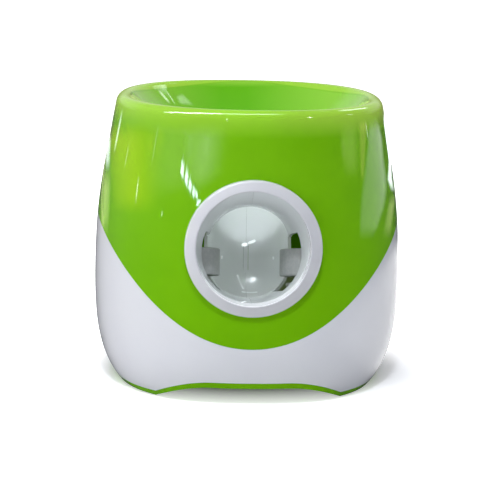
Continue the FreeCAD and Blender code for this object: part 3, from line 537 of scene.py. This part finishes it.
# %% Throat beam
THROAT, BEAM_RADIUS = Vector((0.0, -0.027, 0.186)), 0.036
beam_way = THROAT - CEILING_LAMP
beam = bpy.data.objects.new("throat_beam", bpy.data.lights.new("throat_beam", "SPOT"))
beam.data.energy = 88.0
beam.data.color = (0.93, 0.98, 1.0)
beam.data.shadow_soft_size = 0.02
beam.data.spot_size = 2 * math.atan(BEAM_RADIUS / beam_way.length)
beam.data.spot_blend = 0.2
beam.location = CEILING_LAMP
beam.rotation_mode = "QUATERNION"
beam.rotation_quaternion = beam_way.to_track_quat("-Z", "Y")
beam.visible_glossy = False
bpy.context.scene.collection.objects.link(beam)
print("beam of", round(math.degrees(beam.data.spot_size), 2), "degrees")

# %% [markdown]
# ## Tracing the picture backwards
#
# A glossy cover shows its surroundings as pale bands and streaks. To put a band where we want it,
# we work backwards: a ray goes from the camera through a point of the picture, bounces off the
# cover, and the reflector stands where the bounced ray goes. The bounce uses the same smooth
# normals that shade the cover, so the highlight lands where it was asked for.

# %% The surfaces that the rays meet
PICTURE = 500                           # width and height of the picture, in pixels
FOCAL_PX = LENS_MM / SENSOR_MM * PICTURE
STEP_IN = 0.4                           # pixels to step in from a point beside the machine
SEEN = ("upper_shell", "lower_shell", "hopper_bowl", "bezel_ring", "chute_left", "chute_right")


def surface_tree(names):
    """One search tree over several CAD nodes, with the corner normals that shade each face."""
    points, faces, shading = [], [], []
    for name in names:
        mesh = nodes[name].data
        start = len(points)
        points += [v.co.copy() for v in mesh.vertices]
        for face in mesh.polygons:
            faces.append(tuple(start + i for i in face.vertices))
            shading.append([mesh.corner_normals[i].vector.copy() for i in face.loop_indices])
    return BVHTree.FromPolygons(points, faces), points, faces, shading


skin, skin_points, skin_faces, skin_shading = surface_tree(SEEN)
print("faces to trace:", len(skin_faces))


# %% A bounced ray
def bounce(px, py):
    """Where the camera's ray through a picture point meets the machine, and where it goes then."""
    spot = None
    while spot is None:
        ray = (camera_turn @ Vector((px - PICTURE / 2, PICTURE / 2 - py, -FOCAL_PX))).normalized()
        spot, _, index, _ = skin.ray_cast(CAMERA_AT, ray)
        px += STEP_IN if px < PICTURE / 2 else -STEP_IN
    weights = poly_3d_calc([skin_points[i] for i in skin_faces[index]], spot)
    normal = Vector((0, 0, 0))
    for weight, shade in zip(weights, skin_shading[index]):
        normal += weight * shade
    normal.normalize()
    return spot, ray - 2 * ray.dot(normal) * normal


_, centre_way = bounce(PICTURE / 2, 150)
print("above the ring, the cover mirrors", [round(c, 2) for c in centre_way])

# %% [markdown]
# ## Marks of light in the cup
#
# The cup mirrors the lamps many times over. Reflectors for marks this small would show on the covers
# as well, so the marks glow on the chute itself, as soft lines between two points of the picture.

# %% Marks in the cup
# Each row: from, to, half width in millimetres, strength.
MARK_SOFT = 1.2 * MM
CUP_MARKS = (((243.4, 244.9), (245.6, 244.5), 0.7, 0.90), ((249.0, 243.0), (254.3, 240.8), 0.2, 0.65),
             ((221.9, 256.5), (221.7, 258.0), 0.1, 0.40), ((273.2, 257.4), (273.3, 258.6), 0.1, 0.30),
             ((237.6, 275.5), (243.2, 288.6), 0.1, 0.35), ((242.5, 291.8), (256.5, 292.2), 0.2, 0.35),
             ((242.0, 302.4), (245.5, 301.2), 0.2, 0.70), ((250.0, 301.6), (256.0, 301.6), 0.1, 0.30))
tree = finishes["chute_plastic"].node_tree
place = spot_on(tree)
shine = chute_shader.inputs["Emission Strength"].links[0].from_socket
for first, last, half_width, strength in CUP_MARKS:
    start, stop = bounce(*first)[0], bounce(*last)[0]
    line = stop - start
    aside = vector(tree, "SUBTRACT", place, tuple(start))
    share = vector(tree, "DOT_PRODUCT", aside, tuple(line / line.length_squared), result="Value")
    nearest = vector(tree, "MULTIPLY", tuple(line), maths(tree, "ADD", share, 0.0, clamp=True))
    away = vector(tree, "DISTANCE", aside, nearest, result="Value")
    mark = span(tree, away, half_width * MM + MARK_SOFT, half_width * MM, 0.0, strength)
    shine = maths(tree, "ADD", shine, mark)
feed(tree, chute_shader.inputs["Emission Strength"], shine)
print("marks of light:", len(CUP_MARKS))

# %% [markdown]
# ## Reflectors
#
# A flat card would be bent by the curved wall. So each reflector is a net whose every point is
# traced, and its image keeps the wanted outline. It glows for glossy rays alone, so it adds a
# reflection and no light, and it lets light from behind through, so that reflectors may overlap.

# %% The net of a reflector
CARD_AWAY = 1.4                         # metres from the machine


def along(line, share):
    """The point at a share of the length of a line of picture points."""
    points = [Vector(p) for p in line]
    lengths = [(b - a).length for a, b in zip(points, points[1:])]
    rest = share * sum(lengths)
    for start, stop, length in zip(points, points[1:], lengths):
        if rest <= length:
            return start.lerp(stop, rest / length)
        rest -= length
    return points[-1]


def traced_net(name, first, second, steps):
    """A mesh whose image fills the strip between two lines of picture points."""
    net, faces, row = [], [], steps + 1
    for i in range(row):
        start, stop = along(first, i / steps), along(second, i / steps)
        for j in range(row):
            at, way = bounce(*start.lerp(stop, j / steps))
            net.append(at + way * CARD_AWAY)
    for corner in (i * row + j for i in range(steps) for j in range(steps)):
        faces.append((corner, corner + 1, corner + row + 1, corner + row))
    mesh = bpy.data.meshes.new(name)
    mesh.from_pydata(net, [], faces)
    uv = mesh.uv_layers.new(name="card")
    for loop in mesh.loops:
        uv.data[loop.index].uv = (loop.vertex_index // row / steps, loop.vertex_index % row / steps)
    return mesh


print("reflectors stand", CARD_AWAY, "m away")


# %% The light of a reflector
def soft_light(name, radiance, ends, sides, tint):
    """A see-through glow that fades over a share of the length and of the width."""
    finish = bpy.data.materials.new(name)
    finish.use_nodes = True
    tree = finish.node_tree
    tree.nodes.clear()
    across = axes(tree, tree.nodes.new("ShaderNodeTexCoord").outputs["UV"])
    for axis, soft in (("X", ends), ("Y", sides)):
        rise, fall = span(tree, across[axis], 0, soft), span(tree, across[axis], 1, 1 - soft)
        radiance = product(tree, radiance, product(tree, rise, fall))
    light = put(tree, "ShaderNodeEmission", Color=(*tint, 1), Strength=radiance)
    through = tree.nodes.new("ShaderNodeBsdfTransparent")
    both = put(tree, "ShaderNodeAddShader", i0=light.outputs[0], i1=through.outputs[0])
    put(tree, "ShaderNodeOutputMaterial", Surface=both.outputs[0])
    return finish


def card(name, first, second, radiance, ends=0.25, sides=0.25, tint=(1, 1, 1), steps=12):
    """A reflector between two lines of picture points, seen by glossy rays alone."""
    mesh = traced_net(name, first, second, steps)
    mesh.materials.append(soft_light(name, radiance, ends, sides, tint))
    sheet = bpy.data.objects.new(name, mesh)
    bpy.context.scene.collection.objects.link(sheet)
    sheet.visible_camera = False
    sheet.visible_diffuse = False
    sheet.visible_transmission = False
    sheet.visible_shadow = False


def glint(name, line, width, radiance, tint=(1, 1, 1), ends=0.3, sides=0.5):
    """A thin line of light along picture points."""
    way = (Vector(line[-1]) - Vector(line[0])).normalized()
    aside = Vector((-way.y, way.x)) * width / 2
    card(name, [Vector(p) - aside for p in line], [Vector(p) + aside for p in line],
         radiance, ends, sides, tint)


print("reflectors are made by", card.__name__, "and", glint.__name__)

# %% [markdown]
# ## Reflections in the front
#
# A bright window stands to the left of the machine, with broad pale walls beside it. On the right
# there are narrower bands. All of them start below the rounded rim: a card that ran onto the rim
# would sweep overhead there, and the bowl would mirror it.

# %% Bands on the left
COOL, LIME, OLIVE = (0.90, 0.96, 1.0), (1.0, 0.84, 0.02), (1.0, 0.80, 0.30)
WARM, STRAW, SPRING = (1.0, 0.95, 0.65), (1.0, 1.0, 0.5), (0.9, 1.0, 0.4)
card("warm_band", ((142, 122), (148, 205)), ((236, 122), (226, 178)), 1.4, 0.3, 0.3, WARM, steps=3)
card("pale_band", ((182, 122), (187, 205)), ((228, 122), (220, 178)), 1.5, 0.3, 0.4, COOL)
card("lime_patch", ((108, 122), (112, 215)), ((168, 122), (158, 215)), 2.7, 0.2, 0.42, LIME)
card("left_edge", ((103, 168), (101, 236)), ((112, 168), (109, 236)), 1.1, 0.3, 0.3, STRAW)
card("left_corner", ((107, 132), (105, 172)), ((111.5, 132), (110, 172)), 1.6, 0.3, 0.3, COOL)
glint("streak", ((122.5, 109), (114.1, 153)), 2.2, 4, COOL)
glint("hair_1", ((138.7, 176), (135.5, 204)), 1.3, 14)
glint("hair_2", ((159.3, 122), (151.3, 165)), 0.9, 5)
glint("hair_3", ((129, 144), (124.5, 167.6)), 0.9, 5)
glint("dot", ((162.1, 210.5), (161.7, 217)), 1.8, 14)

# %% The window with its bars
# Each row holds one pane: its left side from the top down, then its right side.
PANES = (((181.5, 160.5), (180.3, 173), (184.35, 166), (182.95, 179.5)),
         ((186.1, 168.5), (184.6, 181), (188.45, 174), (186.95, 188.5)),
         ((189.6, 177), (188.2, 188), (192.15, 184.5), (190.45, 193.7)),
         ((193.4, 185.3), (192.1, 194.5), (195.25, 190), (193.95, 199.5)),
         ((195.9, 189), (195.4, 196), (198.05, 194), (197.25, 200)),
         ((197, 200), (196.4, 207), (201.15, 199.5), (200.35, 202.5)))
DAYLIGHT, PANE_RADIANCE = (0.72, 0.78, 1.0), 34
for number, (a, b, c, d) in enumerate(PANES, 1):
    card("window_%d" % number, (a, b), (c, d), PANE_RADIANCE, 0.06, 0.06, DAYLIGHT, steps=5)
print("panes:", len(PANES))

# %% Bands on the right
card("right_wedge", ((368.8, 119), (367.4, 143), (362.8, 178), (360, 197), (359, 220), (359, 240)),
     ((377, 117), (382, 132), (384.5, 160), (388, 183), (386, 205), (374, 239)), 1.4, 0.12, 0.15)
card("olive_strip", ((357.7, 120), (360.5, 180)), ((368.3, 120), (364, 180)), 1.9, 0.1, 0.3, OLIVE)
card("right_band", ((338, 120), (342, 178)), ((360, 120), (360, 178)), 1.8, 0.3, 0.4, SPRING)
card("right_rim", ((382.5, 114), (388.5, 160), (387, 180), (390.5, 192)),
     ((385, 114), (391, 160), (392.5, 180), (395, 192)), 4, 0.15, 0.35, COOL)
card("right_low", ((389.6, 194), (381, 239)), ((396, 194), (391, 239)), 0.8, 0.3, 0.3, STRAW)
card("white_right", ((399, 236), (385, 264), (368, 292), (350, 314), (325, 337)),
     ((402, 240), (402, 300), (397, 340), (390, 365), (365, 385)), 1.2, 0.15, 0.15)
glint("hair_4", ((365.5, 122), (368.3, 140)), 1.0, 7)

# %% [markdown]
# ## Reflections in the lip and the bowl
#
# The front lip is tightly rounded, so it gathers a lamp into a thin bright line with a few dots
# below it. The bowl's left slope mirrors the window as two streaks and a small patch.

# %% Lip and bowl
glint("lip_line_1", ((163, 112.2), (189, 112.9), (225, 113.8)), 1.5, 44, COOL, 0.15)
glint("lip_line_2", ((210, 113.6), (250, 114.3), (288, 114.3)), 1.4, 16, COOL, 0.3)
glint("lip_dash_1", ((338, 110.8), (348, 110.2), (368.5, 107.8)), 1.6, 8, COOL, 0.15)
glint("lip_dash_2", ((346, 114.6), (353, 114.4)), 1.0, 8)
glint("lip_dot_1", ((226, 119.5), (228, 119.5)), 1.8, 40)
glint("lip_dot_2", ((309, 117.3), (311, 117.3)), 1.8, 40)
glint("bowl_streak_1", ((157.7, 89), (170.2, 103.6)), 2.8, 6)
glint("bowl_streak_2", ((166, 90), (175.3, 104.4)), 1.5, 6)
card("bowl_patch", ((175.3, 95.8), (178.8, 104.4)), ((182.2, 92.4), (196, 106.2)), 2.4)
